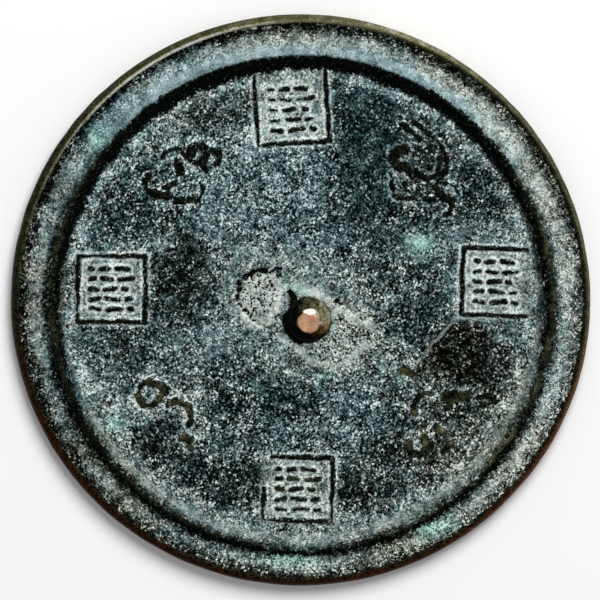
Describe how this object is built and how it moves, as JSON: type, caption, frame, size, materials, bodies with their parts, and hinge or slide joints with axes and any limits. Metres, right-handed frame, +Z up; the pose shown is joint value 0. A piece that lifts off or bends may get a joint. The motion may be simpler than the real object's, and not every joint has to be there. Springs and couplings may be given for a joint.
{
  "type": "ancient bronze mirror",
  "caption": "Round cast bronze mirror lying on its polished face, with a lipped rim, a ridge ring, low relief and a pierced cord knob on its back.",
  "frame": {"origin": "middle of the polished face, which the mirror lies on", "axes": "+Z up out of the relief side, +Y towards the head of the design"},
  "size_m": [0.13, 0.13, 0.0066],
  "materials": {
    "bronze": "patinated cast bronze, dark metal under a grey-green granular deposit, worn olive brown on its high edges"
  },
  "bodies": {
    "root": {"bronze_mirror": "bronze"}
  },
  "joints": []
}
